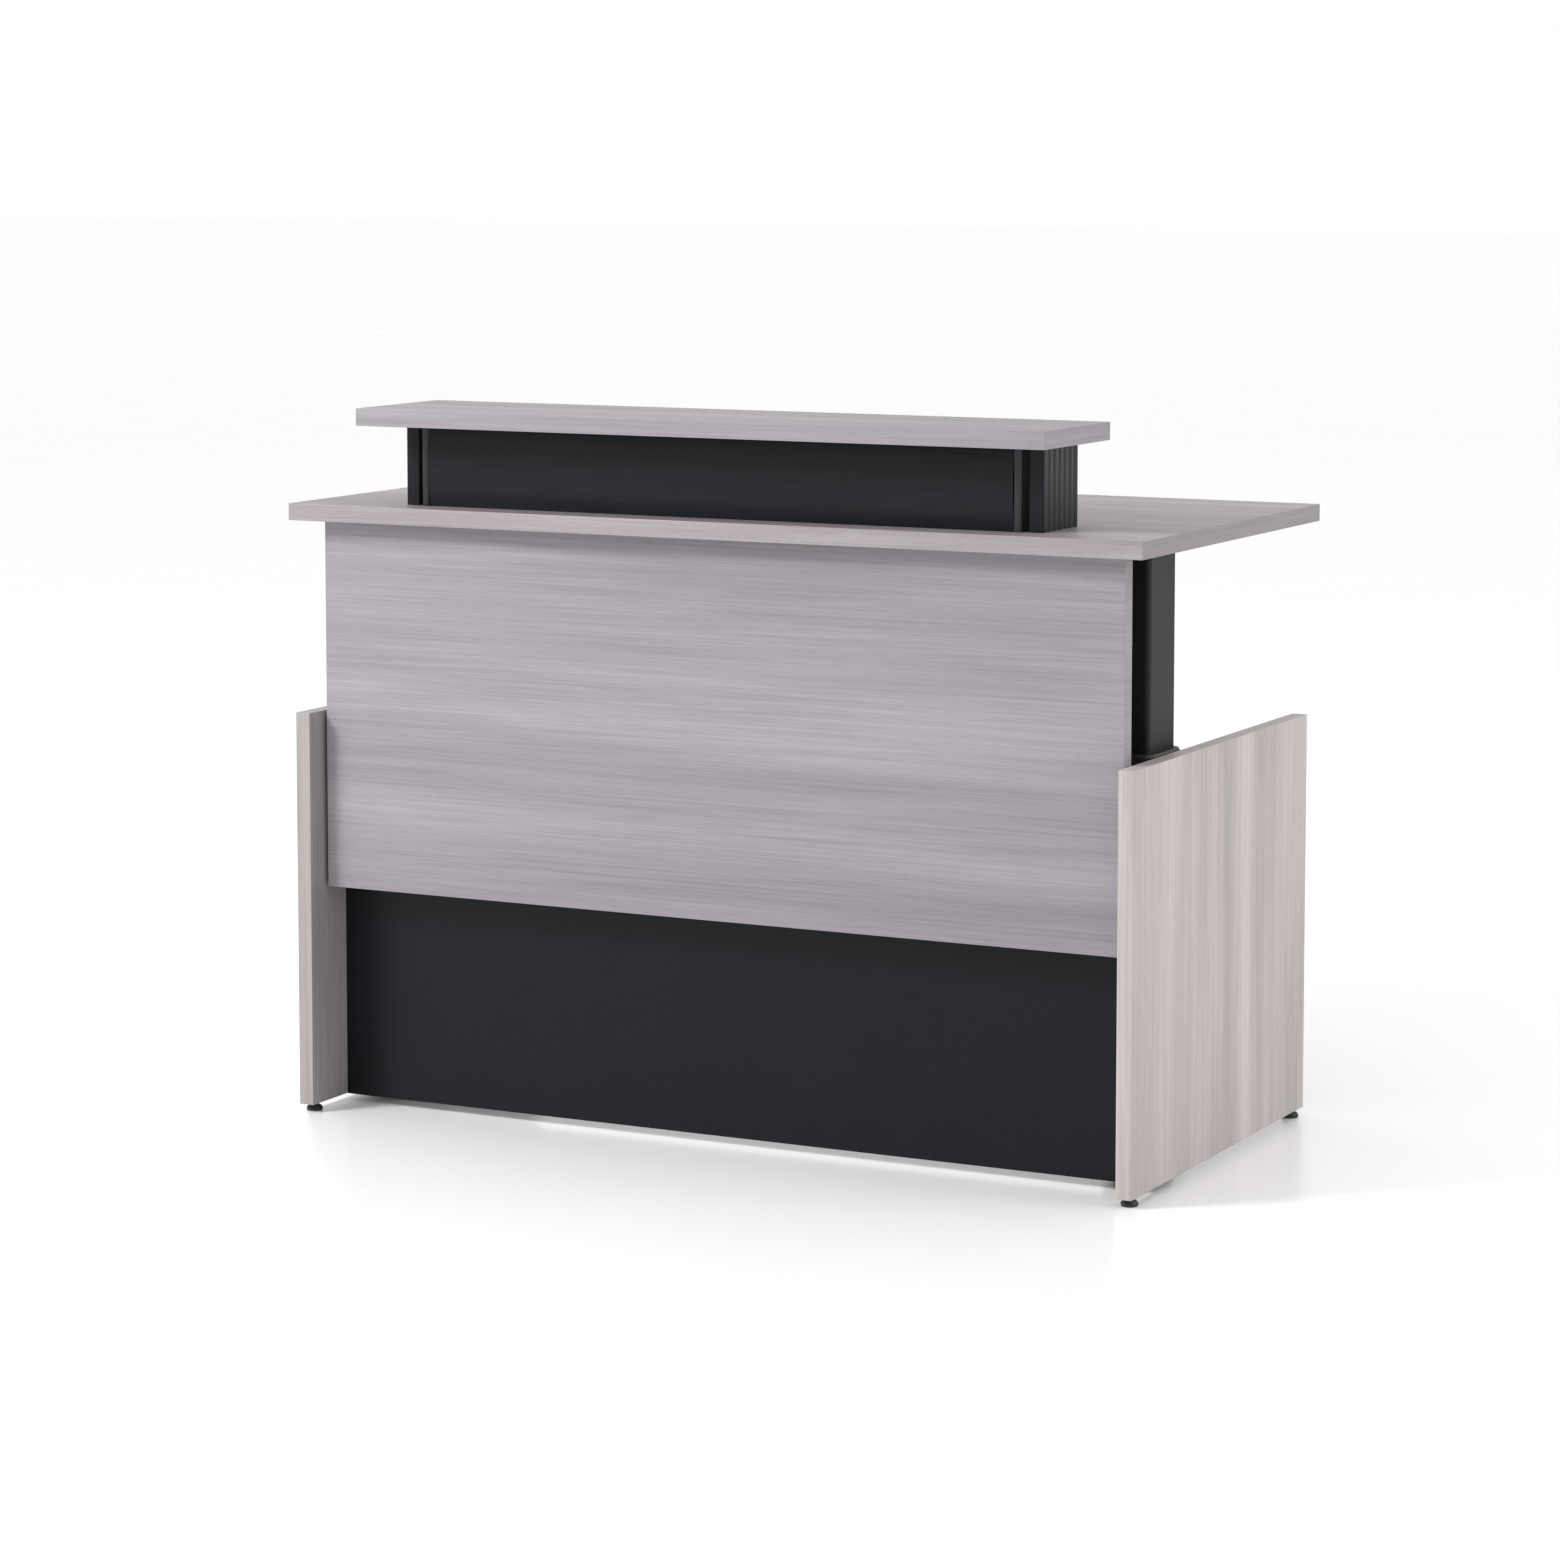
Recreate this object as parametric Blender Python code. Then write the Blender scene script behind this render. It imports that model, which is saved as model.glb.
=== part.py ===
# Electric height-adjustable reception desk with a raised transaction counter.
# Metres, +Z up, floor at z = 0, visitor side towards -Y, user side towards +Y.

import math

import bmesh
import bpy
from mathutils import Matrix

# Boards
WORKTOP_WIDTH = 1.524
WORKTOP_DEPTH = 0.762
WORKTOP_THICKNESS = 0.028
WORKTOP_UNDERSIDE = 0.993
SHELF_WIDTH = 1.225
SHELF_DEPTH = 0.253
SHELF_THICKNESS = 0.0285
SHELF_OVERHANG = 0.0264
SHELF_CLEAR_HEIGHT = 0.1343
MODESTY_SIDE_GAP = 0.0075
MODESTY_THICKNESS = 0.0285
MODESTY_SETBACK = 0.0408
MODESTY_HEIGHT = 0.615
END_SPAN = 1.5024
END_THICKNESS = 0.0264
END_DEPTH = 0.742
END_HEIGHT = 0.660
LOWER_SETBACK = 0.1058
LOWER_THICKNESS = 0.019
LOWER_HEIGHT = 0.630
EDGE_ROUND = 0.0008

# Transaction counter support
POST_SPAN = 1.143
POST_WIDTH = 0.025
POST_DEPTH = 0.1353
POST_SETBACK = 0.0628
POST_ROUND = 0.004
FLUTE_COUNT = 6
FLUTE_DEPTH = 0.0008
FASCIA_REVEAL = 0.0095
FASCIA_PROUD = 0.0077
FASCIA_THICKNESS = 0.014
FASCIA_BULGE = 0.005
TRIM_WIDTH = 0.013
TRIM_DEPTH = 0.054
TRIM_ROUND = 0.0045

# Levelling feet
FOOT_HEIGHT = 0.013
FOOT_RADIUS = 0.014
FOOT_INSET = 0.025
FOOT_DISC_HEIGHT = 0.008
FOOT_NECK_RADIUS = 0.0076
FOOT_EDGE = 0.001
STEM_RADIUS = 0.004
INSERT_RADIUS = 0.007
INSERT_LENGTH = 0.032

# Telescopic columns
COLUMN_WIDTH = 0.070
COLUMN_DEPTH = 0.109
COLUMN_SETBACK = 0.164
COLUMN_TO_END = 0.0133
COLUMN_ROUND = 0.008
COLUMN_STEP = 0.005
TUBE_WALL = 0.0025
COLLAR_LIP = 0.004
COLLAR_HEIGHT = 0.020
COLLAR_RISE = 0.0015
INNER_LENGTH = 0.637
TOP_PLATE_THICKNESS = 0.006
TOP_PLATE_REACH = 0.075
BASE_PLATE_THICKNESS = 0.006
BASE_PLATE_LIFT = 0.002
MOTOR_RADIUS = 0.028
MOTOR_HEIGHT = 0.130
MOTOR_SOCKET = 0.012
SPINDLE_RADIUS = 0.008
SPINDLE_LENGTH = 0.528
PUSH_TUBE_RADIUS = 0.015
PUSH_TUBE_BORE = 0.011
PUSH_TUBE_LENGTH = 0.494
NUT_HEIGHT = 0.030
NUT_SPIGOT = 0.012

# Frame rails, brackets and electrics
RAIL_DEPTH = 0.025
RAIL_HEIGHT = 0.030
RAIL_WALL = 0.002
RAIL_GAP_TO_COLUMN = 0.022
SHEET = 0.003
BRACKET_HEIGHT = 0.060
BRACKET_CROWN = 0.050
BRACKET_FLANGE = 0.020
CLEAT_LEG = 0.024
CLEAT_HEIGHT = 0.050
CLEAT_FROM_END = 0.080
ANGLE_LEG = 0.030
ANGLE_LENGTH = 0.060
ANGLE_FROM_END = 0.2173
BOX_LENGTH = 0.240
BOX_DEPTH = 0.075
BOX_HEIGHT = 0.036
BOX_BEHIND_COLUMN = 0.060
SOCKET_WIDTH = 0.016
SOCKET_HEIGHT = 0.012
SOCKET_DEPTH = 0.010
SOCKET_PITCH = 0.034
HANDSET_LENGTH = 0.110
HANDSET_DEPTH = 0.045
HANDSET_HEIGHT = 0.020
HANDSET_X = -0.480
HANDSET_INSET = 0.004
BUTTON_LENGTH = 0.024
BUTTON_HEIGHT = 0.010
BUTTON_DEPTH = 0.005
BUTTON_ROUND = 0.002
BUTTON_PROUD = 0.0015
BUTTON_SPACING = 0.040
POCKET_DEPTH = 0.006

# Fits
GAP = 0.0003
RUNNING = 0.0004

# Levels and positions that follow from the sizes above
FRONT = SHELF_OVERHANG - (WORKTOP_DEPTH + SHELF_OVERHANG) / 2
WORKTOP_TOP = WORKTOP_UNDERSIDE + WORKTOP_THICKNESS
SHELF_UNDERSIDE = WORKTOP_TOP + SHELF_CLEAR_HEIGHT
END_TOP = FOOT_HEIGHT + END_HEIGHT
END_INNER = END_SPAN / 2 - END_THICKNESS
MODESTY_WIDTH = 2 * (END_INNER - MODESTY_SIDE_GAP)
OUTER_WIDTH = COLUMN_WIDTH + 2 * COLUMN_STEP
COLUMN_X = END_INNER - COLUMN_TO_END - OUTER_WIDTH / 2
COLUMN_Y = FRONT + COLUMN_SETBACK + COLUMN_DEPTH / 2
OUTER_DEPTH = COLUMN_DEPTH + 2 * COLUMN_STEP
COLLAR_TOP = END_TOP + COLLAR_RISE
OUTER_TOP = COLLAR_TOP - COLLAR_LIP - GAP
BASE_PLATE_TOP = FOOT_HEIGHT + BASE_PLATE_LIFT + BASE_PLATE_THICKNESS
TOP_PLATE_BOTTOM = WORKTOP_UNDERSIDE - GAP - TOP_PLATE_THICKNESS
FRAME_TOP = TOP_PLATE_BOTTOM - GAP
MOTOR_BOTTOM = FRAME_TOP - MOTOR_HEIGHT
NUT_BOTTOM = BASE_PLATE_TOP + PUSH_TUBE_LENGTH + 2 * GAP
SIDES = (("left", -1), ("right", 1))


def clear_scene():
    for old in list(bpy.data.objects):
        bpy.data.objects.remove(old, do_unlink=True)


def make_material(name, colour, roughness, metallic):
    material = bpy.data.materials.new(name)
    material.use_nodes = True
    shader = material.node_tree.nodes["Principled BSDF"]
    shader.inputs["Base Color"].default_value = (*colour, 1.0)
    shader.inputs["Roughness"].default_value = roughness
    shader.inputs["Metallic"].default_value = metallic
    return material


def add_object(name, bm, finish, location=(0, 0, 0), smooth=False):
    bmesh.ops.recalc_face_normals(bm, faces=bm.faces)
    mesh = bpy.data.meshes.new(name)
    bm.to_mesh(mesh)
    bm.free()
    colour, roughness, metallic = finish
    mesh.materials.append(make_material(name, colour, roughness, metallic))
    for face in mesh.polygons:
        face.use_smooth = smooth
    mesh.set_sharp_from_angle(angle=math.radians(35))
    piece = bpy.data.objects.new(name, mesh)
    piece.location = location
    bpy.context.scene.collection.objects.link(piece)
    return piece


def rounded_outline(width, depth, radius, steps=4):
    points = []
    corners = ((1, 1, 0), (-1, 1, 90), (-1, -1, 180), (1, -1, 270))
    for sx, sy, start in corners:
        for step in range(steps + 1):
            angle = math.radians(start + 90 * step / steps)
            x = sx * (width / 2 - radius) + radius * math.cos(angle)
            y = sy * (depth / 2 - radius) + radius * math.sin(angle)
            points.append((x, y))
    return points


def extrude_outline(points, bottom, top):
    bm = bmesh.new()
    base = bm.faces.new([bm.verts.new((x, y, bottom)) for x, y in points])
    swept = bmesh.ops.extrude_face_region(bm, geom=[base])
    moved = [item for item in swept["geom"] if isinstance(item, bmesh.types.BMVert)]
    bmesh.ops.translate(bm, vec=(0, 0, top - bottom), verts=moved)
    return bm


def stack_outlines(levels):
    # Skins a closed run of equal-count outlines: each level is (points, height).
    bm = bmesh.new()
    rings = []
    for points, height in levels:
        rings.append([bm.verts.new((x, y, height)) for x, y in points])
    count = len(rings[0])
    for lower, upper in zip(rings, rings[1:] + rings[:1]):
        for i in range(count):
            j = (i + 1) % count
            bm.faces.new((lower[i], lower[j], upper[j], upper[i]))
    return bm


def make_tube(width, depth, radius, wall, bottom, top):
    outside = rounded_outline(width, depth, radius)
    inside = rounded_outline(width - 2 * wall, depth - 2 * wall, radius - wall)
    return stack_outlines([(outside, bottom), (outside, top), (inside, top), (inside, bottom)])


def revolve(profile, steps=32):
    # Turns a closed (radius, height) outline about Z; points on the axis are merged.
    bm = bmesh.new()
    verts = [bm.verts.new((radius, 0, height)) for radius, height in profile]
    edges = [bm.edges.new(pair) for pair in zip(verts, verts[1:])]
    if profile[0][0] > 0:
        edges.append(bm.edges.new((verts[-1], verts[0])))
    bmesh.ops.spin(bm, geom=verts + edges, cent=(0, 0, 0), axis=(0, 0, 1), angle=2 * math.pi, steps=steps)
    bmesh.ops.remove_doubles(bm, verts=bm.verts, dist=0.00001)
    return bm


def soften(bm, radius, segments=2, chosen=None):
    edges = [edge for edge in bm.edges if chosen is None or chosen(edge)]
    bmesh.ops.bevel(bm, geom=edges, offset=radius, segments=segments, profile=0.5, affect="EDGES")
    return bm


def make_board(width, depth, height, radius=EDGE_ROUND):
    x = width / 2
    y = depth / 2
    points = [(-x, -y), (x, -y), (x, y), (-x, y)]
    return soften(extrude_outline(points, -height / 2, height / 2), radius)


def turn(bm, angle, axis):
    bmesh.ops.rotate(bm, cent=(0, 0, 0), matrix=Matrix.Rotation(angle, 3, axis), verts=bm.verts)
    return bm


def mirror_x(bm, side):
    if side < 0:
        bmesh.ops.scale(bm, vec=(-1, 1, 1), verts=bm.verts)
    return bm


def cut(piece, cutters):
    for name, bm, location in cutters:
        tool = add_object(name, bm, BLACK_STEEL, location)
        tool.hide_render = True
        tool.display_type = "WIRE"
        modifier = piece.modifiers.new(name, "BOOLEAN")
        modifier.operation = "DIFFERENCE"
        modifier.solver = "EXACT"
        modifier.object = tool


# Finishes as (colour, roughness, metallic)
LAMINATE = ((0.40, 0.37, 0.40), 0.50, 0.0)
END_LAMINATE = ((0.50, 0.46, 0.44), 0.50, 0.0)
BLACK_PANEL = ((0.020, 0.021, 0.024), 0.45, 0.0)
BLACK_ALUMINIUM = ((0.022, 0.023, 0.026), 0.38, 0.6)
BLACK_STEEL = ((0.030, 0.031, 0.033), 0.42, 0.3)
BRIGHT_STEEL = ((0.55, 0.55, 0.56), 0.30, 1.0)
BRASS = ((0.60, 0.45, 0.20), 0.35, 1.0)
BLACK_PLASTIC = ((0.015, 0.015, 0.016), 0.50, 0.0)
GREY_PLASTIC = ((0.16, 0.16, 0.17), 0.50, 0.0)


def build_boards():
    middle = FRONT + WORKTOP_DEPTH / 2
    worktop = make_board(WORKTOP_WIDTH, WORKTOP_DEPTH, WORKTOP_THICKNESS)
    add_object("worktop", worktop, LAMINATE, (0, middle, WORKTOP_UNDERSIDE + WORKTOP_THICKNESS / 2))
    shelf = make_board(SHELF_WIDTH, SHELF_DEPTH, SHELF_THICKNESS)
    shelf_y = FRONT - SHELF_OVERHANG + SHELF_DEPTH / 2
    add_object("transaction_shelf", shelf, LAMINATE, (0, shelf_y, SHELF_UNDERSIDE + SHELF_THICKNESS / 2))
    modesty = make_board(MODESTY_WIDTH, MODESTY_THICKNESS, MODESTY_HEIGHT - GAP)
    modesty_y = FRONT + MODESTY_SETBACK + MODESTY_THICKNESS / 2
    modesty_z = WORKTOP_UNDERSIDE - GAP - (MODESTY_HEIGHT - GAP) / 2
    add_object("modesty_panel", modesty, LAMINATE, (0, modesty_y, modesty_z))
    lower = make_board(2 * (END_INNER - GAP), LOWER_THICKNESS, LOWER_HEIGHT)
    lower_y = FRONT + LOWER_SETBACK + LOWER_THICKNESS / 2
    add_object("lower_panel", lower, BLACK_PANEL, (0, lower_y, FOOT_HEIGHT + LOWER_HEIGHT / 2))


def build_end_panels():
    length = INSERT_LENGTH + GAP
    reach = INSERT_RADIUS + GAP
    for name, side in SIDES:
        x = side * (END_SPAN - END_THICKNESS) / 2
        y = FRONT + END_DEPTH / 2
        panel = make_board(END_THICKNESS, END_DEPTH, END_HEIGHT)
        piece = add_object("end_panel_" + name, panel, END_LAMINATE, (x, y, FOOT_HEIGHT + END_HEIGHT / 2))
        cutters = []
        for place, way in (("front", -1), ("rear", 1)):
            foot_y = y + way * (END_DEPTH / 2 - FOOT_INSET)
            hole = revolve([(0, -length), (reach, -length), (reach, length), (0, length)])
            cutters.append(("hole_" + name + "_" + place, hole, (x, foot_y, FOOT_HEIGHT)))
            build_foot(name + "_" + place, x, foot_y)
        cut(piece, cutters)


def build_foot(label, x, y):
    bore = STEM_RADIUS + GAP
    sleeve = [
        (0, INSERT_LENGTH), (INSERT_RADIUS, INSERT_LENGTH), (INSERT_RADIUS, EDGE_ROUND),
        (INSERT_RADIUS - EDGE_ROUND, 0), (bore, 0), (bore, INSERT_LENGTH - SHEET), (0, INSERT_LENGTH - SHEET),
    ]
    add_object("leveller_insert_" + label, revolve(sleeve), BRIGHT_STEEL, (x, y, FOOT_HEIGHT), smooth=True)
    stem_top = FOOT_HEIGHT + INSERT_LENGTH - 2 * SHEET
    foot = [
        (0, stem_top), (STEM_RADIUS, stem_top), (STEM_RADIUS, FOOT_HEIGHT - GAP),
        (FOOT_NECK_RADIUS, FOOT_HEIGHT - GAP), (FOOT_NECK_RADIUS, FOOT_DISC_HEIGHT + FOOT_EDGE),
        (FOOT_RADIUS - 3 * FOOT_EDGE, FOOT_DISC_HEIGHT), (FOOT_RADIUS, FOOT_DISC_HEIGHT / 2),
        (FOOT_RADIUS - FOOT_EDGE, 0), (0, 0),
    ]
    add_object("leveller_" + label, revolve(foot), BLACK_PLASTIC, (x, y, 0), smooth=True)


def post_outline():
    # Section of the counter post seen from above: fluted on the outer side (+X), round front and back edges.
    half = POST_DEPTH / 2
    points = []
    for sx, sy, start in ((-1, 1, 90), (-1, -1, 180), (1, -1, 270)):
        for step in range(4):
            angle = math.radians(start + 30 * step)
            x = sx * (POST_WIDTH / 2 - POST_ROUND) + POST_ROUND * math.cos(angle)
            y = sy * (half - POST_ROUND) + POST_ROUND * math.sin(angle)
            points.append((x, y))
    pitch = (POST_DEPTH - 4 * POST_ROUND) / FLUTE_COUNT
    first = -half + 2 * POST_ROUND
    for flute in range(FLUTE_COUNT):
        for step in range(5):
            share = 0.15 + 0.7 * step / 4
            dip = FLUTE_DEPTH * math.sin(math.pi * step / 4)
            points.append((POST_WIDTH / 2 - dip, first + (flute + share) * pitch))
    for step in range(4):
        angle = math.radians(30 * step)
        x = POST_WIDTH / 2 - POST_ROUND + POST_ROUND * math.cos(angle)
        points.append((x, half - POST_ROUND + POST_ROUND * math.sin(angle)))
    return points


def build_counter_support():
    bottom = WORKTOP_TOP + GAP
    top = SHELF_UNDERSIDE - GAP
    post_y = FRONT + POST_SETBACK + POST_DEPTH / 2
    inner = POST_SPAN / 2 - POST_WIDTH
    for name, side in SIDES:
        post = mirror_x(extrude_outline(post_outline(), bottom, top), side)
        post_x = side * (inner + POST_WIDTH / 2)
        add_object("counter_post_" + name, post, BLACK_ALUMINIUM, (post_x, post_y, 0))
    front = POST_SETBACK - FASCIA_PROUD
    half = (top - bottom) / 2
    section = [(FASCIA_THICKNESS, -half), (FASCIA_THICKNESS, half)]
    for step in range(13):
        height = half * (1 - step / 6)
        section.append((FASCIA_BULGE * (height / half) ** 2, height))
    width = inner - FASCIA_REVEAL - TRIM_WIDTH - GAP
    fascia = extrude_outline(section, -width, width)
    turn(fascia, math.radians(90), "Y")
    turn(fascia, math.radians(90), "X")
    middle = (bottom + top) / 2
    add_object("counter_fascia", fascia, BLACK_ALUMINIUM, (0, 0, 0))
    seat_fascia(bpy.data.objects["counter_fascia"], FRONT + front, middle)
    for name, side in SIDES:
        outline = rounded_outline(TRIM_WIDTH, TRIM_DEPTH, TRIM_ROUND)
        trim = extrude_outline(outline, bottom, top)
        trim_x = side * (inner - FASCIA_REVEAL - TRIM_WIDTH / 2)
        add_object("fascia_trim_" + name, trim, BLACK_ALUMINIUM, (trim_x, FRONT + front + TRIM_DEPTH / 2, 0))


def seat_fascia(piece, front, middle):
    # Sets the fascia's foremost line on the front plane and centres it between worktop and shelf.
    lowest = min(vertex.co.y for vertex in piece.data.vertices)
    centre = sum((vertex.co.z for vertex in piece.data.vertices)) / len(piece.data.vertices)
    piece.location = (0, front - lowest, middle - centre)


def build_columns():
    inner_bottom = FRAME_TOP - INNER_LENGTH
    for name, side in SIDES:
        at = (side * COLUMN_X, COLUMN_Y, 0)
        inner = make_tube(COLUMN_WIDTH, COLUMN_DEPTH, COLUMN_ROUND, TUBE_WALL, inner_bottom, FRAME_TOP)
        add_object("column_inner_" + name, inner, BLACK_STEEL, at)
        radius = COLUMN_ROUND + COLUMN_STEP
        outer = make_tube(OUTER_WIDTH, OUTER_DEPTH, radius, TUBE_WALL, BASE_PLATE_TOP + GAP, OUTER_TOP)
        add_object("column_outer_" + name, outer, BLACK_STEEL, at)
        add_object("column_collar_" + name, make_collar(radius), BLACK_PLASTIC, at)
        plate = extrude_outline(rounded_outline(OUTER_WIDTH, OUTER_DEPTH, radius), 0, BASE_PLATE_THICKNESS)
        plate_z = BASE_PLATE_TOP - BASE_PLATE_THICKNESS
        add_object("base_plate_" + name, plate, BLACK_STEEL, (at[0], at[1], plate_z))
        build_drive(name, at)


def make_collar(radius):
    hole = rounded_outline(COLUMN_WIDTH + 2 * RUNNING, COLUMN_DEPTH + 2 * RUNNING, COLUMN_ROUND + RUNNING)
    pocket = rounded_outline(OUTER_WIDTH + 2 * GAP, OUTER_DEPTH + 2 * GAP, radius + GAP)
    grow = 2 * COLUMN_STEP
    skirt = rounded_outline(OUTER_WIDTH + grow, OUTER_DEPTH + grow, radius + COLUMN_STEP)
    brow = rounded_outline(OUTER_WIDTH + grow / 2, OUTER_DEPTH + grow / 2, radius + COLUMN_STEP / 2)
    bottom = COLLAR_TOP - COLLAR_HEIGHT
    lip = COLLAR_TOP - COLLAR_LIP
    return stack_outlines([
        (skirt, bottom), (skirt, lip), (brow, COLLAR_TOP), (hole, COLLAR_TOP), (hole, lip), (pocket, lip),
        (pocket, bottom),
    ])


def build_drive(name, at):
    socket = SPINDLE_RADIUS + RUNNING
    motor = [
        (0, MOTOR_HEIGHT), (MOTOR_RADIUS - 0.002, MOTOR_HEIGHT), (MOTOR_RADIUS, MOTOR_HEIGHT - 0.002),
        (MOTOR_RADIUS, 0.030), (MOTOR_RADIUS * 0.7, 0.026), (MOTOR_RADIUS * 0.7, 0), (socket, 0),
        (socket, MOTOR_SOCKET), (0, MOTOR_SOCKET),
    ]
    add_object("motor_" + name, revolve(motor), GREY_PLASTIC, (at[0], at[1], MOTOR_BOTTOM), smooth=True)
    spindle_top = MOTOR_BOTTOM + MOTOR_SOCKET - RUNNING
    chamfer = SPINDLE_RADIUS * 0.2
    spindle = [
        (0, 0), (SPINDLE_RADIUS, 0), (SPINDLE_RADIUS, -SPINDLE_LENGTH + chamfer),
        (SPINDLE_RADIUS - chamfer, -SPINDLE_LENGTH), (0, -SPINDLE_LENGTH),
    ]
    add_object("spindle_" + name, revolve(spindle), BRIGHT_STEEL, (at[0], at[1], spindle_top), smooth=True)
    push = [
        (PUSH_TUBE_RADIUS, 0), (PUSH_TUBE_RADIUS, PUSH_TUBE_LENGTH), (PUSH_TUBE_BORE, PUSH_TUBE_LENGTH),
        (PUSH_TUBE_BORE, 0),
    ]
    add_object("push_tube_" + name, revolve(push), BRIGHT_STEEL, (at[0], at[1], BASE_PLATE_TOP + GAP), smooth=True)
    bore = SPINDLE_RADIUS + RUNNING
    nut = [
        (PUSH_TUBE_RADIUS, 0), (PUSH_TUBE_RADIUS, NUT_HEIGHT), (bore, NUT_HEIGHT), (bore, -NUT_SPIGOT),
        (PUSH_TUBE_BORE - GAP, -NUT_SPIGOT), (PUSH_TUBE_BORE - GAP, 0),
    ]
    add_object("drive_nut_" + name, revolve(nut), BRASS, (at[0], at[1], NUT_BOTTOM), smooth=True)


def build_frame():
    inboard = COLUMN_X - COLUMN_WIDTH / 2
    rail_half = inboard - RAIL_GAP_TO_COLUMN
    for name, side in SIDES:
        outline = rounded_outline(COLUMN_WIDTH + TOP_PLATE_REACH, COLUMN_DEPTH, COLUMN_ROUND)
        plate = extrude_outline(outline, 0, TOP_PLATE_THICKNESS)
        x = side * (COLUMN_X - TOP_PLATE_REACH / 2)
        add_object("top_plate_" + name, plate, BLACK_STEEL, (x, COLUMN_Y, TOP_PLATE_BOTTOM))
    for name, way in (("front", -1), ("rear", 1)):
        rail = make_tube(RAIL_HEIGHT, RAIL_DEPTH, RAIL_WALL * 1.5, RAIL_WALL, -rail_half, rail_half)
        turn(rail, math.radians(90), "Y")
        y = COLUMN_Y + way * (COLUMN_DEPTH / 2 - RAIL_DEPTH / 2)
        add_object("cross_rail_" + name, rail, BLACK_STEEL, (0, y, FRAME_TOP - RAIL_HEIGHT / 2))


def angle_outline(leg_x, leg_y):
    fillet = 2 * SHEET
    return [(0, 0), (leg_x, 0), (leg_x, SHEET), (fillet, SHEET), (SHEET, fillet), (SHEET, leg_y), (0, leg_y)]


def build_brackets():
    space = END_INNER - COLUMN_X - OUTER_WIDTH / 2 - 2 * GAP
    seat = space - SHEET
    half = BRACKET_CROWN / 2
    wide = half + BRACKET_FLANGE
    hat = [
        (0, half), (0, -half), (seat, -half), (seat, -wide), (space, -wide), (space, -half + SHEET),
        (SHEET, -half + SHEET), (SHEET, half - SHEET), (space, half - SHEET), (space, wide), (seat, wide),
        (seat, half),
    ]
    back = FRONT + LOWER_SETBACK + LOWER_THICKNESS + GAP
    low = FOOT_HEIGHT + CLEAT_FROM_END
    cleat_levels = (("low", low), ("high", FOOT_HEIGHT + LOWER_HEIGHT - CLEAT_FROM_END))
    bracket_levels = (("low", low), ("high", END_TOP - CLEAT_FROM_END))
    for name, side in SIDES:
        for place, level in bracket_levels:
            bracket = mirror_x(extrude_outline(hat, -BRACKET_HEIGHT / 2, BRACKET_HEIGHT / 2), side)
            x = side * (COLUMN_X + OUTER_WIDTH / 2 + GAP)
            add_object("column_bracket_" + name + "_" + place, bracket, BLACK_STEEL, (x, COLUMN_Y, level))
        for place, level in cleat_levels:
            cleat = extrude_outline(angle_outline(CLEAT_LEG, CLEAT_LEG), -CLEAT_HEIGHT / 2, CLEAT_HEIGHT / 2)
            mirror_x(cleat, -side)
            x = side * (END_INNER - GAP)
            add_object("cleat_" + name + "_" + place, cleat, BLACK_STEEL, (x, back, level))
    modesty_back = FRONT + MODESTY_SETBACK + MODESTY_THICKNESS + GAP
    for name, place in (("left", -1), ("middle", 0), ("right", 1)):
        angle = extrude_outline(angle_outline(ANGLE_LEG, ANGLE_LEG), -ANGLE_LENGTH / 2, ANGLE_LENGTH / 2)
        turn(angle, math.radians(-90), "Z")
        turn(angle, math.radians(90), "Y")
        turn(angle, math.radians(180), "Z")
        at = (place * (MODESTY_WIDTH / 2 - ANGLE_FROM_END), modesty_back, WORKTOP_UNDERSIDE - GAP)
        add_object("modesty_bracket_" + name, seat_angle(angle), BLACK_STEEL, at)


def seat_angle(bm):
    # Moves the angle so its corner is at the origin, one leg along +Y and one along -Z.
    low_y = min(vertex.co.y for vertex in bm.verts)
    high_z = max(vertex.co.z for vertex in bm.verts)
    bmesh.ops.translate(bm, vec=(0, -low_y, -high_z), verts=bm.verts)
    return bm


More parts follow.
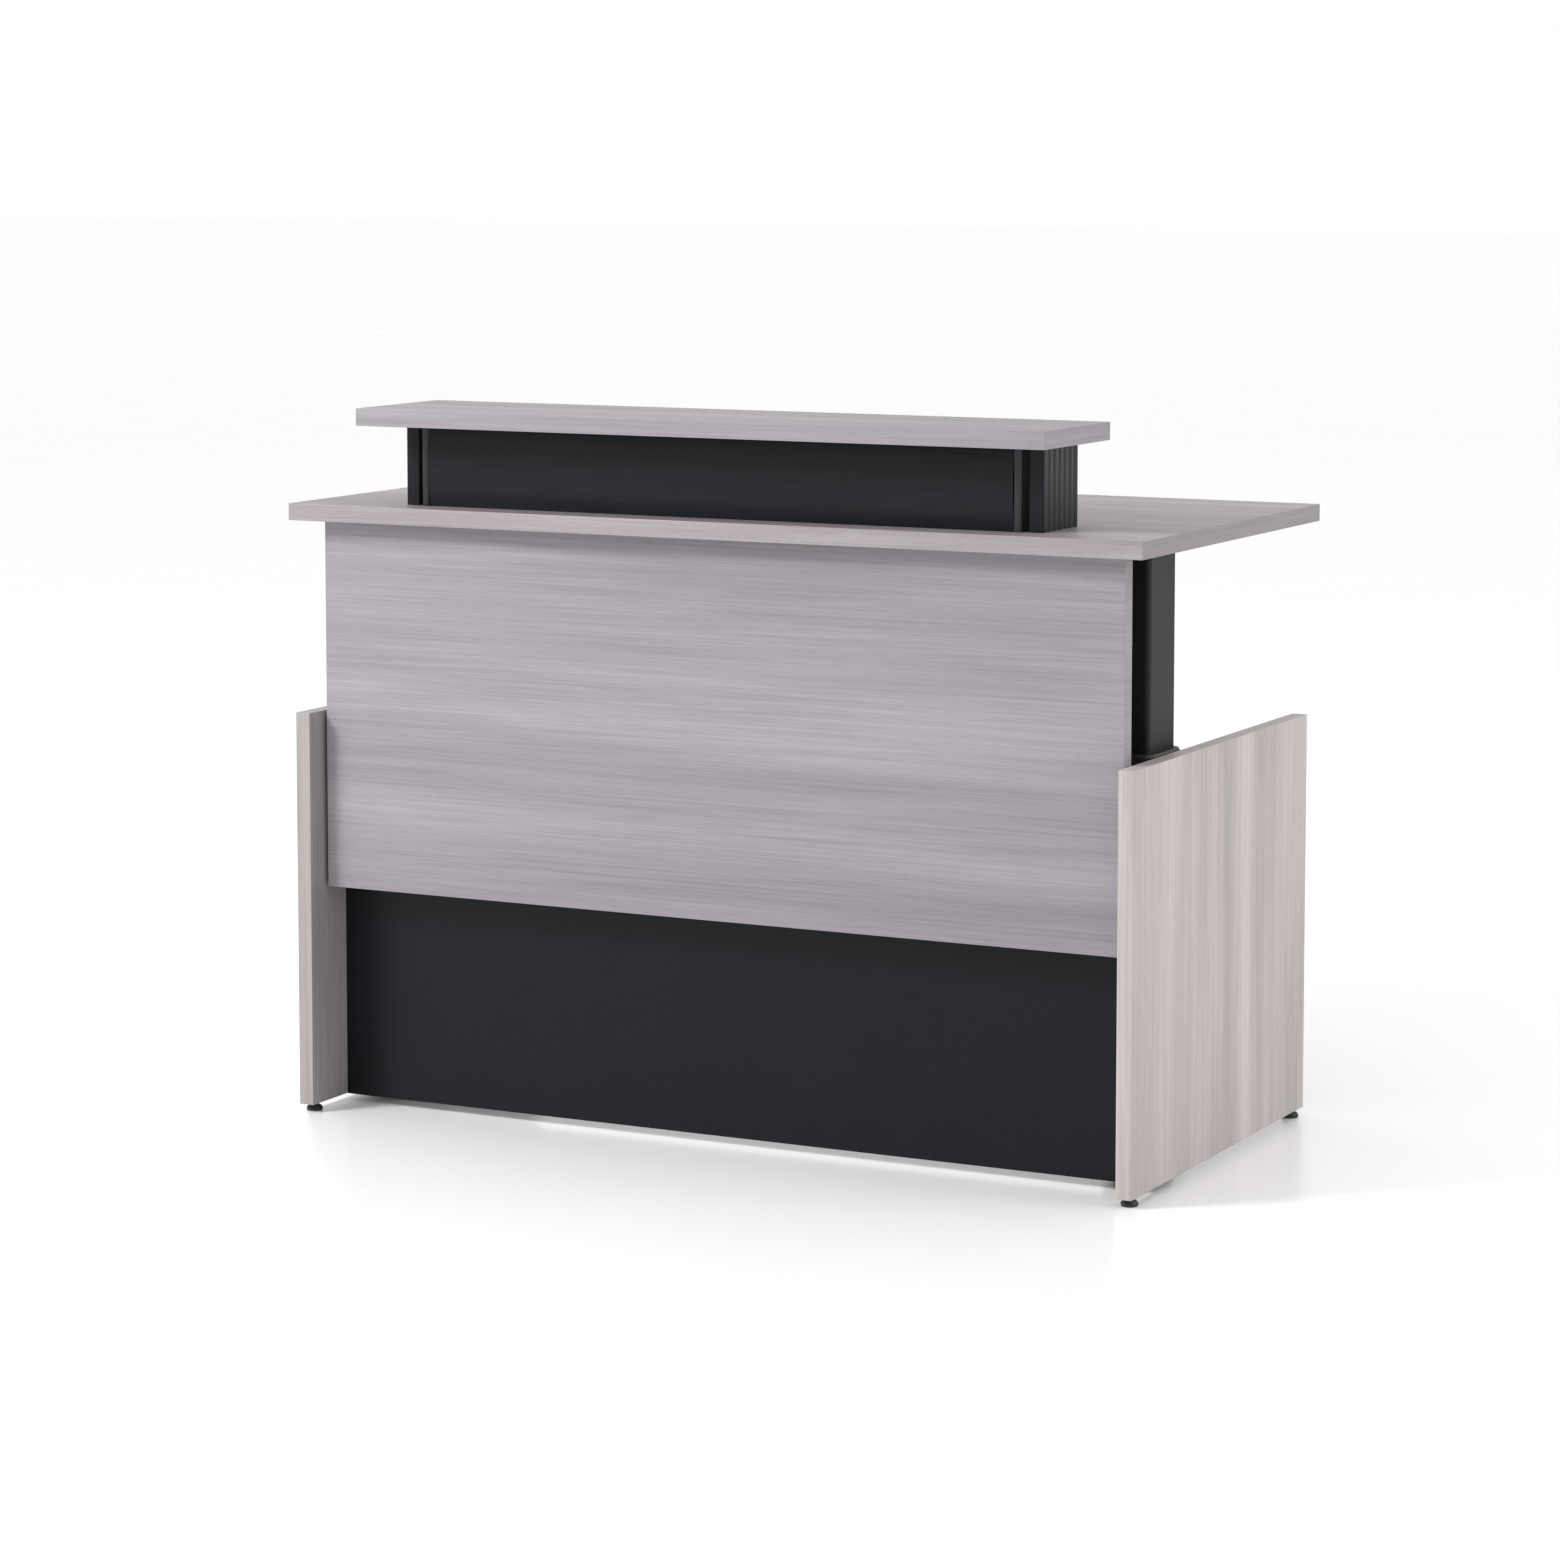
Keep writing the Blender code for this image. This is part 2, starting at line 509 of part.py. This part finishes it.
def build_electrics():
    box = make_board(BOX_LENGTH, BOX_DEPTH, BOX_HEIGHT, 0.003)
    box_y = COLUMN_Y + COLUMN_DEPTH / 2 + BOX_BEHIND_COLUMN + BOX_DEPTH / 2
    box_z = WORKTOP_UNDERSIDE - GAP - BOX_HEIGHT / 2
    piece = add_object("control_box", box, BLACK_PLASTIC, (0, box_y, box_z))
    cutters = []
    for index in range(4):
        mouth = make_board(SOCKET_WIDTH, 2 * SOCKET_DEPTH, SOCKET_HEIGHT, 0.001)
        x = (index - 1.5) * SOCKET_PITCH
        cutters.append(("socket_%d" % index, mouth, (x, box_y + BOX_DEPTH / 2, box_z)))
    cut(piece, cutters)
    front = FRONT + WORKTOP_DEPTH - HANDSET_INSET
    body = make_board(HANDSET_LENGTH, HANDSET_DEPTH, HANDSET_HEIGHT, 0.0025)
    handset_z = WORKTOP_UNDERSIDE - GAP - HANDSET_HEIGHT / 2
    handset_y = front - HANDSET_DEPTH / 2
    handset = add_object("handset_body", body, BLACK_PLASTIC, (HANDSET_X, handset_y, handset_z))
    cutters = []
    for name, way in (("up", 1), ("down", -1)):
        x = HANDSET_X + way * BUTTON_SPACING / 2
        play = 2 * RUNNING
        mouth = rounded_outline(BUTTON_LENGTH + play, BUTTON_HEIGHT + play, BUTTON_ROUND + RUNNING)
        pocket = extrude_outline(mouth, -POCKET_DEPTH, POCKET_DEPTH)
        turn(pocket, math.radians(-90), "X")
        cutters.append(("pocket_" + name, pocket, (x, front, handset_z)))
        outline = rounded_outline(BUTTON_LENGTH, BUTTON_HEIGHT, BUTTON_ROUND)
        button = extrude_outline(outline, BUTTON_PROUD - BUTTON_DEPTH, BUTTON_PROUD)
        soften(button, 0.0006, 2, lambda edge: all(vertex.co.z > 0 for vertex in edge.verts))
        turn(button, math.radians(-90), "X")
        add_object("button_" + name, button, GREY_PLASTIC, (x, front, handset_z))
    cut(handset, cutters)


clear_scene()
build_boards()
build_end_panels()
build_counter_support()
build_columns()
build_frame()
build_brackets()
build_electrics()
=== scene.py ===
import math

import bmesh
import bpy
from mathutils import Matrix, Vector


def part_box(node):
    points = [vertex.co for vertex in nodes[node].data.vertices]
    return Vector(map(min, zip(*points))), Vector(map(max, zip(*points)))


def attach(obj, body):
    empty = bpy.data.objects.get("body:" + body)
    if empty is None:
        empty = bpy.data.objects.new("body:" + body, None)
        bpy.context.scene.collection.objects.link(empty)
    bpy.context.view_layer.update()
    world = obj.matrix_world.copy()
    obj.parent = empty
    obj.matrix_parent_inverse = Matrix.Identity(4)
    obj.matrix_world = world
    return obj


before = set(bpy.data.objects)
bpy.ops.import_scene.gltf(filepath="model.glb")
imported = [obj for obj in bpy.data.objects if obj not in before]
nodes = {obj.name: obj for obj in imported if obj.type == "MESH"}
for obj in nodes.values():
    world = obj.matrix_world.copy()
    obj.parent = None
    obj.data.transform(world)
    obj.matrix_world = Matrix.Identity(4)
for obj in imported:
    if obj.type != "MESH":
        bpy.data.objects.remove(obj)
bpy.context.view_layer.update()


# Materials


def new_material(name, roughness, metallic=0.0):
    material = bpy.data.materials.new(name)
    material.use_nodes = True
    tree = material.node_tree
    shader = tree.nodes["Principled BSDF"]
    shader.inputs["Roughness"].default_value = roughness
    shader.inputs["Metallic"].default_value = metallic
    return material, tree, shader


def add_noise(tree, stretch, offset, scale, detail, distortion=0.0, vector=None):
    if vector is None:
        vector = tree.nodes.new("ShaderNodeTexCoord").outputs["Object"]
    mapping = tree.nodes.new("ShaderNodeMapping")
    mapping.inputs["Scale"].default_value = stretch
    mapping.inputs["Location"].default_value = offset
    noise = tree.nodes.new("ShaderNodeTexNoise")
    noise.inputs["Scale"].default_value = scale
    noise.inputs["Detail"].default_value = detail
    noise.inputs["Roughness"].default_value = 0.62
    noise.inputs["Distortion"].default_value = distortion
    tree.links.new(vector, mapping.inputs["Vector"])
    tree.links.new(mapping.outputs["Vector"], noise.inputs["Vector"])
    return noise.outputs["Fac"]


def add_ramp(tree, value, stops):
    ramp = tree.nodes.new("ShaderNodeValToRGB")
    elements = ramp.color_ramp.elements
    while len(elements) < len(stops):
        elements.new(0.5)
    for element, (place, colour) in zip(elements, stops):
        element.position = place
        element.color = (*colour, 1.0)
    tree.links.new(value, ramp.inputs["Fac"])
    return ramp.outputs["Color"]


def add_mix(tree, kind, amount, first, second):
    mix = tree.nodes.new("ShaderNodeMix")
    mix.data_type = "RGBA"
    mix.blend_type = kind
    mix.inputs["Factor"].default_value = amount
    tree.links.new(first, mix.inputs["A"])
    tree.links.new(second, mix.inputs["B"])
    return mix.outputs["Result"]


def add_bump(tree, shader, height, strength, distance):
    bump = tree.nodes.new("ShaderNodeBump")
    bump.inputs["Strength"].default_value = strength
    bump.inputs["Distance"].default_value = distance
    tree.links.new(height, bump.inputs["Height"])
    tree.links.new(bump.outputs["Normal"], shader.inputs["Normal"])


def vary_roughness(tree, shader, value, low, high):
    spread = tree.nodes.new("ShaderNodeMapRange")
    spread.inputs["To Min"].default_value = low
    spread.inputs["To Max"].default_value = high
    tree.links.new(value, spread.inputs["Value"])
    tree.links.new(spread.outputs["Result"], shader.inputs["Roughness"])


def banded_vector(tree, along):
    # On the edges that cut across the grain, the long axis changes place with Y, as on edge banding.
    place = tree.nodes.new("ShaderNodeTexCoord").outputs["Object"]
    facing = tree.nodes.new("ShaderNodeSeparateXYZ")
    tree.links.new(tree.nodes.new("ShaderNodeNewGeometry").outputs["True Normal"], facing.inputs["Vector"])
    lean = tree.nodes.new("ShaderNodeMath")
    lean.operation = "ABSOLUTE"
    tree.links.new(facing.outputs[along], lean.inputs[0])
    across = tree.nodes.new("ShaderNodeMath")
    across.operation = "GREATER_THAN"
    across.inputs[1].default_value = 0.7
    tree.links.new(lean.outputs["Value"], across.inputs[0])
    parts = tree.nodes.new("ShaderNodeSeparateXYZ")
    tree.links.new(place, parts.inputs["Vector"])
    swapped = tree.nodes.new("ShaderNodeCombineXYZ")
    for axis in range(3):
        source = {along: 1, 1: along}.get(axis, axis)
        tree.links.new(parts.outputs[source], swapped.inputs[axis])
    mix = tree.nodes.new("ShaderNodeMix")
    mix.data_type = "VECTOR"
    tree.links.new(across.outputs["Value"], mix.inputs["Factor"])
    tree.links.new(place, mix.inputs["A"])
    tree.links.new(swapped.outputs["Vector"], mix.inputs["B"])
    return mix.outputs["Result"]


def grain_material(name, along, offset, dark, middle, light):
    # Wood-grain laminate: broad cathedral bands, finer streaks and short pores, all drawn out along one axis.
    material, tree, shader = new_material(name, 0.5)

    def drawn(long, cross):
        return tuple(long if axis == along else cross for axis in range(3))

    vector = banded_vector(tree, along)
    bands = add_noise(tree, drawn(0.35, 5.5), offset, 2.0, 4.0, 0.30, vector)
    streaks = add_noise(tree, drawn(1.1, 120.0), offset, 2.2, 6.0, 0.1, vector)
    pores = add_noise(tree, drawn(14.0, 520.0), offset, 2.0, 2.0, 0.0, vector)
    base = add_ramp(tree, bands, ((0.30, dark), (0.50, middle), (0.70, light)))
    fine = add_ramp(tree, streaks, ((0.25, (0.34, 0.33, 0.33)), (0.75, (0.66, 0.67, 0.67))))
    ticks = add_ramp(tree, pores, ((0.30, (0.80, 0.79, 0.78)), (0.46, (1.0, 1.0, 1.0))))
    colour = add_mix(tree, "OVERLAY", 0.55, base, fine)
    colour = add_mix(tree, "MULTIPLY", 0.55, colour, ticks)
    tree.links.new(colour, shader.inputs["Base Color"])
    vary_roughness(tree, shader, streaks, 0.40, 0.58)
    add_bump(tree, shader, pores, 0.16, 0.0003)
    shader.inputs["Specular IOR Level"].default_value = 0.38
    return material


def coated_material(name, low, high, roughness, metallic, stretch, scale, strength, specular=0.5):
    # Coated, anodised or moulded surface: tone, gloss and relief share one noise.
    material, tree, shader = new_material(name, roughness, metallic)
    tone = add_noise(tree, stretch, (3.1, 1.7, 0.4), scale, 4.0)
    wear = add_noise(tree, (6.0, 6.0, 6.0), (0.3, 5.2, 2.2), 1.5, 3.0)
    colour = add_mix(
        tree, "MIX", 0.3,
        add_ramp(tree, tone, ((0.3, low), (0.7, high))),
        add_ramp(tree, wear, ((0.35, low), (0.65, high))))
    tree.links.new(colour, shader.inputs["Base Color"])
    vary_roughness(tree, shader, tone, roughness - 0.07, roughness + 0.09)
    add_bump(tree, shader, tone, strength, 0.0002)
    shader.inputs["Specular IOR Level"].default_value = specular
    return material


def threaded_material(name):
    # Bright rolled screw: fine rings of relief up the shaft over brushed steel.
    material, tree, shader = new_material(name, 0.28, 1.0)
    coords = tree.nodes.new("ShaderNodeTexCoord")
    wave = tree.nodes.new("ShaderNodeTexWave")
    wave.bands_direction = "Z"
    wave.inputs["Scale"].default_value = 80.0
    tree.links.new(coords.outputs["Object"], wave.inputs["Vector"])
    # Thread rings in the colour follow the relief: darker in the grooves as painted shade, lighter on the crests
    # as painted highlight.
    groove_shade_and_crest_highlight = add_ramp(tree, wave.outputs["Fac"], ((0.1, (0.25, 0.25, 0.26)), (0.8, (0.62, 0.62, 0.63))))
    tree.links.new(groove_shade_and_crest_highlight, shader.inputs["Base Color"])
    add_bump(tree, shader, wave.outputs["Fac"], 0.7, 0.001)
    return material


DARK, MIDDLE, LIGHT = (0.214, 0.197, 0.214), (0.255, 0.236, 0.256), (0.298, 0.277, 0.298)
END_DARK, END_MIDDLE, END_LIGHT = (0.338, 0.306, 0.304), (0.418, 0.378, 0.370), (0.496, 0.452, 0.440)
TOP_DARK, TOP_MIDDLE, TOP_LIGHT = (0.198, 0.172, 0.180), (0.258, 0.230, 0.241), (0.315, 0.286, 0.298)
# The left end panel uses the end-panel laminate made darker: painted shade for its inner side, which lies in the
# modesty panel's shade.
SHADED_END_DARK, SHADED_END_MIDDLE, SHADED_END_LIGHT = (0.250, 0.227, 0.226), (0.305, 0.278, 0.275), (0.360, 0.330, 0.324)
EVEN = (1.0, 1.0, 1.0)

looks = {
    "worktop": grain_material("laminate_worktop", 0, (0.2, 0.9, 0.1), TOP_DARK, TOP_MIDDLE, TOP_LIGHT),
    "transaction_shelf": grain_material("laminate_shelf", 0, (4.1, 2.3, 0.7), DARK, MIDDLE, LIGHT),
    "modesty_panel": grain_material("laminate_modesty", 0, (7.7, 5.1, 1.9), DARK, MIDDLE, LIGHT),
    # Left end panel: darker copy of the end laminate as painted shade.
    "end_panel_left": grain_material("laminate_end_left_shaded", 2, (1.4, 3.2, 6.6), SHADED_END_DARK, SHADED_END_MIDDLE, SHADED_END_LIGHT),
    "end_panel_right": grain_material("laminate_end_right", 2, (9.2, 0.6, 2.8), END_DARK, END_MIDDLE, END_LIGHT),
    "lower_panel": coated_material(
        "satin_black_board", (0.003, 0.004, 0.006), (0.006, 0.007, 0.010), 0.42, 0.0, EVEN, 700.0, 0.06, 0.18),
    "counter_": coated_material(
        "black_anodised", (0.004, 0.005, 0.007), (0.012, 0.013, 0.017),
        0.34, 0.0, (60.0, 60.0, 0.8), 4.0, 0.06, 0.17),
    "counter_fascia": coated_material(
        "black_satin_fascia", (0.005, 0.006, 0.008), (0.010, 0.011, 0.014),
        0.32, 0.0, (0.8, 60.0, 60.0), 4.0, 0.03, 0.18),
    # Fascia end trims: the posts' black anodised finish made glossier and lighter in colour; the lighter colour
    # is a painted highlight.
    "fascia_": coated_material(
        "black_anodised_trim_painted_highlight", (0.012, 0.013, 0.015), (0.026, 0.027, 0.030),
        0.3, 0.1, (90.0, 90.0, 0.8), 4.0, 0.05, 0.4),
    "button": coated_material(
        "grey_moulded", (0.11, 0.11, 0.12), (0.15, 0.15, 0.16), 0.5, 0.0, EVEN, 1800.0, 0.12),
    "motor": coated_material(
        "grey_cast", (0.10, 0.10, 0.11), (0.17, 0.17, 0.18), 0.48, 0.4, EVEN, 300.0, 0.2),
    "drive_nut": coated_material(
        "turned_brass", (0.52, 0.37, 0.15), (0.66, 0.50, 0.24), 0.3, 1.0, (1.0, 1.0, 200.0), 8.0, 0.1),
    "spindle": threaded_material("rolled_screw"),
    "push_tube": coated_material(
        "drawn_steel", (0.42, 0.42, 0.43), (0.58, 0.58, 0.59), 0.3, 1.0, (90.0, 90.0, 1.0), 6.0, 0.08),
    "leveller_insert": coated_material(
        "zinc_steel", (0.45, 0.45, 0.46), (0.60, 0.60, 0.60), 0.35, 1.0, EVEN, 400.0, 0.1),
    "plastic": coated_material(
        "black_moulded", (0.009, 0.009, 0.010), (0.016, 0.016, 0.017), 0.5, 0.0, EVEN, 1600.0, 0.14),
    "steel": coated_material(
        "black_powder_coat", (0.006, 0.007, 0.008), (0.010, 0.011, 0.013), 0.42, 0.0, EVEN, 1100.0, 0.08, 0.16),
}
PLASTIC_NODES = ("leveller_", "column_collar", "control_box", "handset_body")


def look_for(name):
    fits = [key for key in looks if name.startswith(key)]
    if fits:
        return looks[max(fits, key=len)]
    return looks["plastic"] if name.startswith(PLASTIC_NODES) else looks["steel"]


for name, node in nodes.items():
    if node.data.materials:
        node.data.materials[0] = look_for(name)
    else:
        node.data.materials.append(look_for(name))


# Fasteners and button marks


def add_screw_head(bm, place, normal, radius):
    # Domed head with a six-sided recess, turned from a run of rings.
    turn = Vector((0, 0, 1)).rotation_difference(Vector(normal)).to_matrix()
    rings = []
    profile = ((1.0, 0.0), (1.0, 0.16), (0.86, 0.42), (0.62, 0.55), (0.42, 0.58), (0.40, 0.24))
    for share, height in profile:
        ring = []
        for step in range(24):
            angle = math.tau * step / 24
            reach = share
            if share <= 0.42:
                reach = share * math.cos(math.pi / 6) / math.cos((angle % (math.pi / 3)) - math.pi / 6)
            local = Vector((reach * math.cos(angle), reach * math.sin(angle), height)) * radius
            ring.append(bm.verts.new(Vector(place) + turn @ local))
        rings.append(ring)
    for lower, upper in zip(rings, rings[1:]):
        for step in range(24):
            after = (step + 1) % 24
            bm.faces.new((lower[step], lower[after], upper[after], upper[step]))
    bm.faces.new(rings[-1])
    bm.faces.new(list(reversed(rings[0])))


def screw_set(name, body, places, radius):
    bm = bmesh.new()
    for place, normal in places:
        add_screw_head(bm, Vector(place) + 0.0001 * Vector(normal), normal, radius)
    mesh = bpy.data.meshes.new(name)
    bm.to_mesh(mesh)
    bm.free()
    mesh.materials.append(looks["leveller_insert"])
    mesh.polygons.foreach_set("use_smooth", [len(face.vertices) == 4 for face in mesh.polygons])
    screws = bpy.data.objects.new(name, mesh)
    bpy.context.scene.collection.objects.link(screws)
    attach(screws, body)


SHEET = 0.003
lift_places = []
base_places = []
for side in ("left", "middle", "right"):
    low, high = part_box("modesty_bracket_" + side)
    middle = (low + high) / 2
    for way in (-0.018, 0.018):
        lift_places.append(((middle.x + way, low.y + SHEET, low.z + 0.011), (0, 1, 0)))
        lift_places.append(((middle.x + way, high.y - 0.011, high.z - SHEET), (0, 0, -1)))
for side, sign in (("left", -1), ("right", 1)):
    low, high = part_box("top_plate_" + side)
    inboard = (high.x if sign < 0 else low.x) + sign * 0.037
    for way_x in (-0.018, 0.018):
        for way_y in (-0.016, 0.016):
            lift_places.append(((inboard + way_x, (low.y + high.y) / 2 + way_y, low.z), (0, 0, -1)))
    for level in ("low", "high"):
        low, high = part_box("cleat_%s_%s" % (side, level))
        wall = high.x if sign > 0 else low.x
        for way in (-0.014, 0.014):
            height = (low.z + high.z) / 2 + way
            base_places.append(((wall - sign * 0.015, low.y + SHEET, height), (0, 1, 0)))
            base_places.append(((wall - sign * SHEET, high.y - 0.007, height), (-sign, 0, 0)))
        low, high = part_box("column_bracket_%s_%s" % (side, level))
        wall = high.x if sign > 0 else low.x
        for way_z in (-0.018, 0.018):
            for y in (low.y + 0.010, high.y - 0.010):
                base_places.append(((wall - sign * SHEET, y, (low.z + high.z) / 2 + way_z), (-sign, 0, 0)))
low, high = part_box("handset_body")
for x in (low.x + 0.012, high.x - 0.012):
    lift_places.append(((x, (low.y + high.y) / 2, low.z), (0, 0, -1)))
low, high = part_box("control_box")
for x in (low.x + 0.012, high.x - 0.012):
    for y in (low.y + 0.012, high.y - 0.012):
        lift_places.append(((x, y, low.z), (0, 0, -1)))
screw_set("screws_lift", "lift", lift_places, 0.004)
screw_set("screws_base", "base", base_places, 0.004)

mark_material = coated_material(
    "pale_mark", (0.60, 0.60, 0.60), (0.68, 0.68, 0.68), 0.5, 0.0, EVEN, 900.0, 0.05)
for way, sign in (("up", 1), ("down", -1)):
    low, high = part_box("button_" + way)
    middle = (low + high) / 2
    bm = bmesh.new()
    outline = (
        (-0.0035, -0.0017), (0.0, 0.0019), (0.0035, -0.0017),
        (0.0024, -0.0017), (0.0, 0.0007), (-0.0024, -0.0017))
    near = [bm.verts.new((middle.x + x, high.y + 0.00005, middle.z + sign * z)) for x, z in outline]
    far = [bm.verts.new((middle.x + x, high.y + 0.00025, middle.z + sign * z)) for x, z in outline]
    bm.faces.new(near)
    bm.faces.new(far)
    for step in range(len(outline)):
        after = (step + 1) % len(outline)
        bm.faces.new((near[step], near[after], far[after], far[step]))
    bmesh.ops.recalc_face_normals(bm, faces=bm.faces)
    mesh = bpy.data.meshes.new("chevron_" + way)
    bm.to_mesh(mesh)
    bm.free()
    mesh.materials.append(mark_material)
    chevron = bpy.data.objects.new("chevron_" + way, mesh)
    bpy.context.scene.collection.objects.link(chevron)
    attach(chevron, "button_" + way)


# Floor, light and camera

floor_material, floor_tree, floor_shader = new_material("pale_floor", 0.22)
cloud = add_noise(floor_tree, EVEN, (0.0, 0.0, 0.0), 1.2, 3.0)
floor_colour = add_ramp(floor_tree, cloud, ((0.3, (0.945, 0.945, 0.947)), (0.7, (0.95, 0.95, 0.95))))
floor_tree.links.new(floor_colour, floor_shader.inputs["Base Color"])
vary_roughness(floor_tree, floor_shader, cloud, 0.20, 0.26)
floor_mesh = bpy.data.meshes.new("floor")
reach = 60.0
floor_mesh.from_pydata(
    [(-reach, -reach, -0.0005), (reach, -reach, -0.0005), (reach, reach, -0.0005), (-reach, reach, -0.0005)], [],
    [(0, 1, 2, 3)])
floor_mesh.materials.append(floor_material)
floor = bpy.data.objects.new("floor", floor_mesh)
bpy.context.scene.collection.objects.link(floor)

world = bpy.data.worlds.new("studio")
world.use_nodes = True
world.node_tree.nodes["Background"].inputs["Color"].default_value = (1.0, 1.0, 1.0, 1.0)
world.node_tree.nodes["Background"].inputs["Strength"].default_value = 1.0
bpy.context.scene.world = world


def add_area(name, place, target, width, height, power):
    light = bpy.data.lights.new(name, "AREA")
    light.shape = "RECTANGLE"
    light.size = width
    light.size_y = height
    light.energy = power
    lamp = bpy.data.objects.new(name, light)
    lamp.location = place
    lamp.rotation_euler = (Vector(target) - Vector(place)).to_track_quat("-Z", "Y").to_euler()
    bpy.context.scene.collection.objects.link(lamp)


add_area("key", (-3.2, -3.6, 3.6), (0.0, 0.0, 0.6), 1.3, 1.3, 230.0)
add_area("right_fill", (5.0, 0.6, 2.0), (0.6, 0.0, 0.5), 2.5, 2.5, 60.0)

camera_data = bpy.data.cameras.new("camera")
camera_data.lens = 103.19
camera_data.sensor_width = 36.0
camera_data.shift_y = -0.15
camera_data.clip_end = 200.0
camera = bpy.data.objects.new("camera", camera_data)
camera.location = (3.3196, -6.5610, 1.6388)
camera.rotation_euler = (math.pi / 2 - 0.09325, 0.0, 0.47289)
bpy.context.scene.collection.objects.link(camera)
bpy.context.scene.camera = camera
bpy.context.scene.view_settings.view_transform = "Standard"
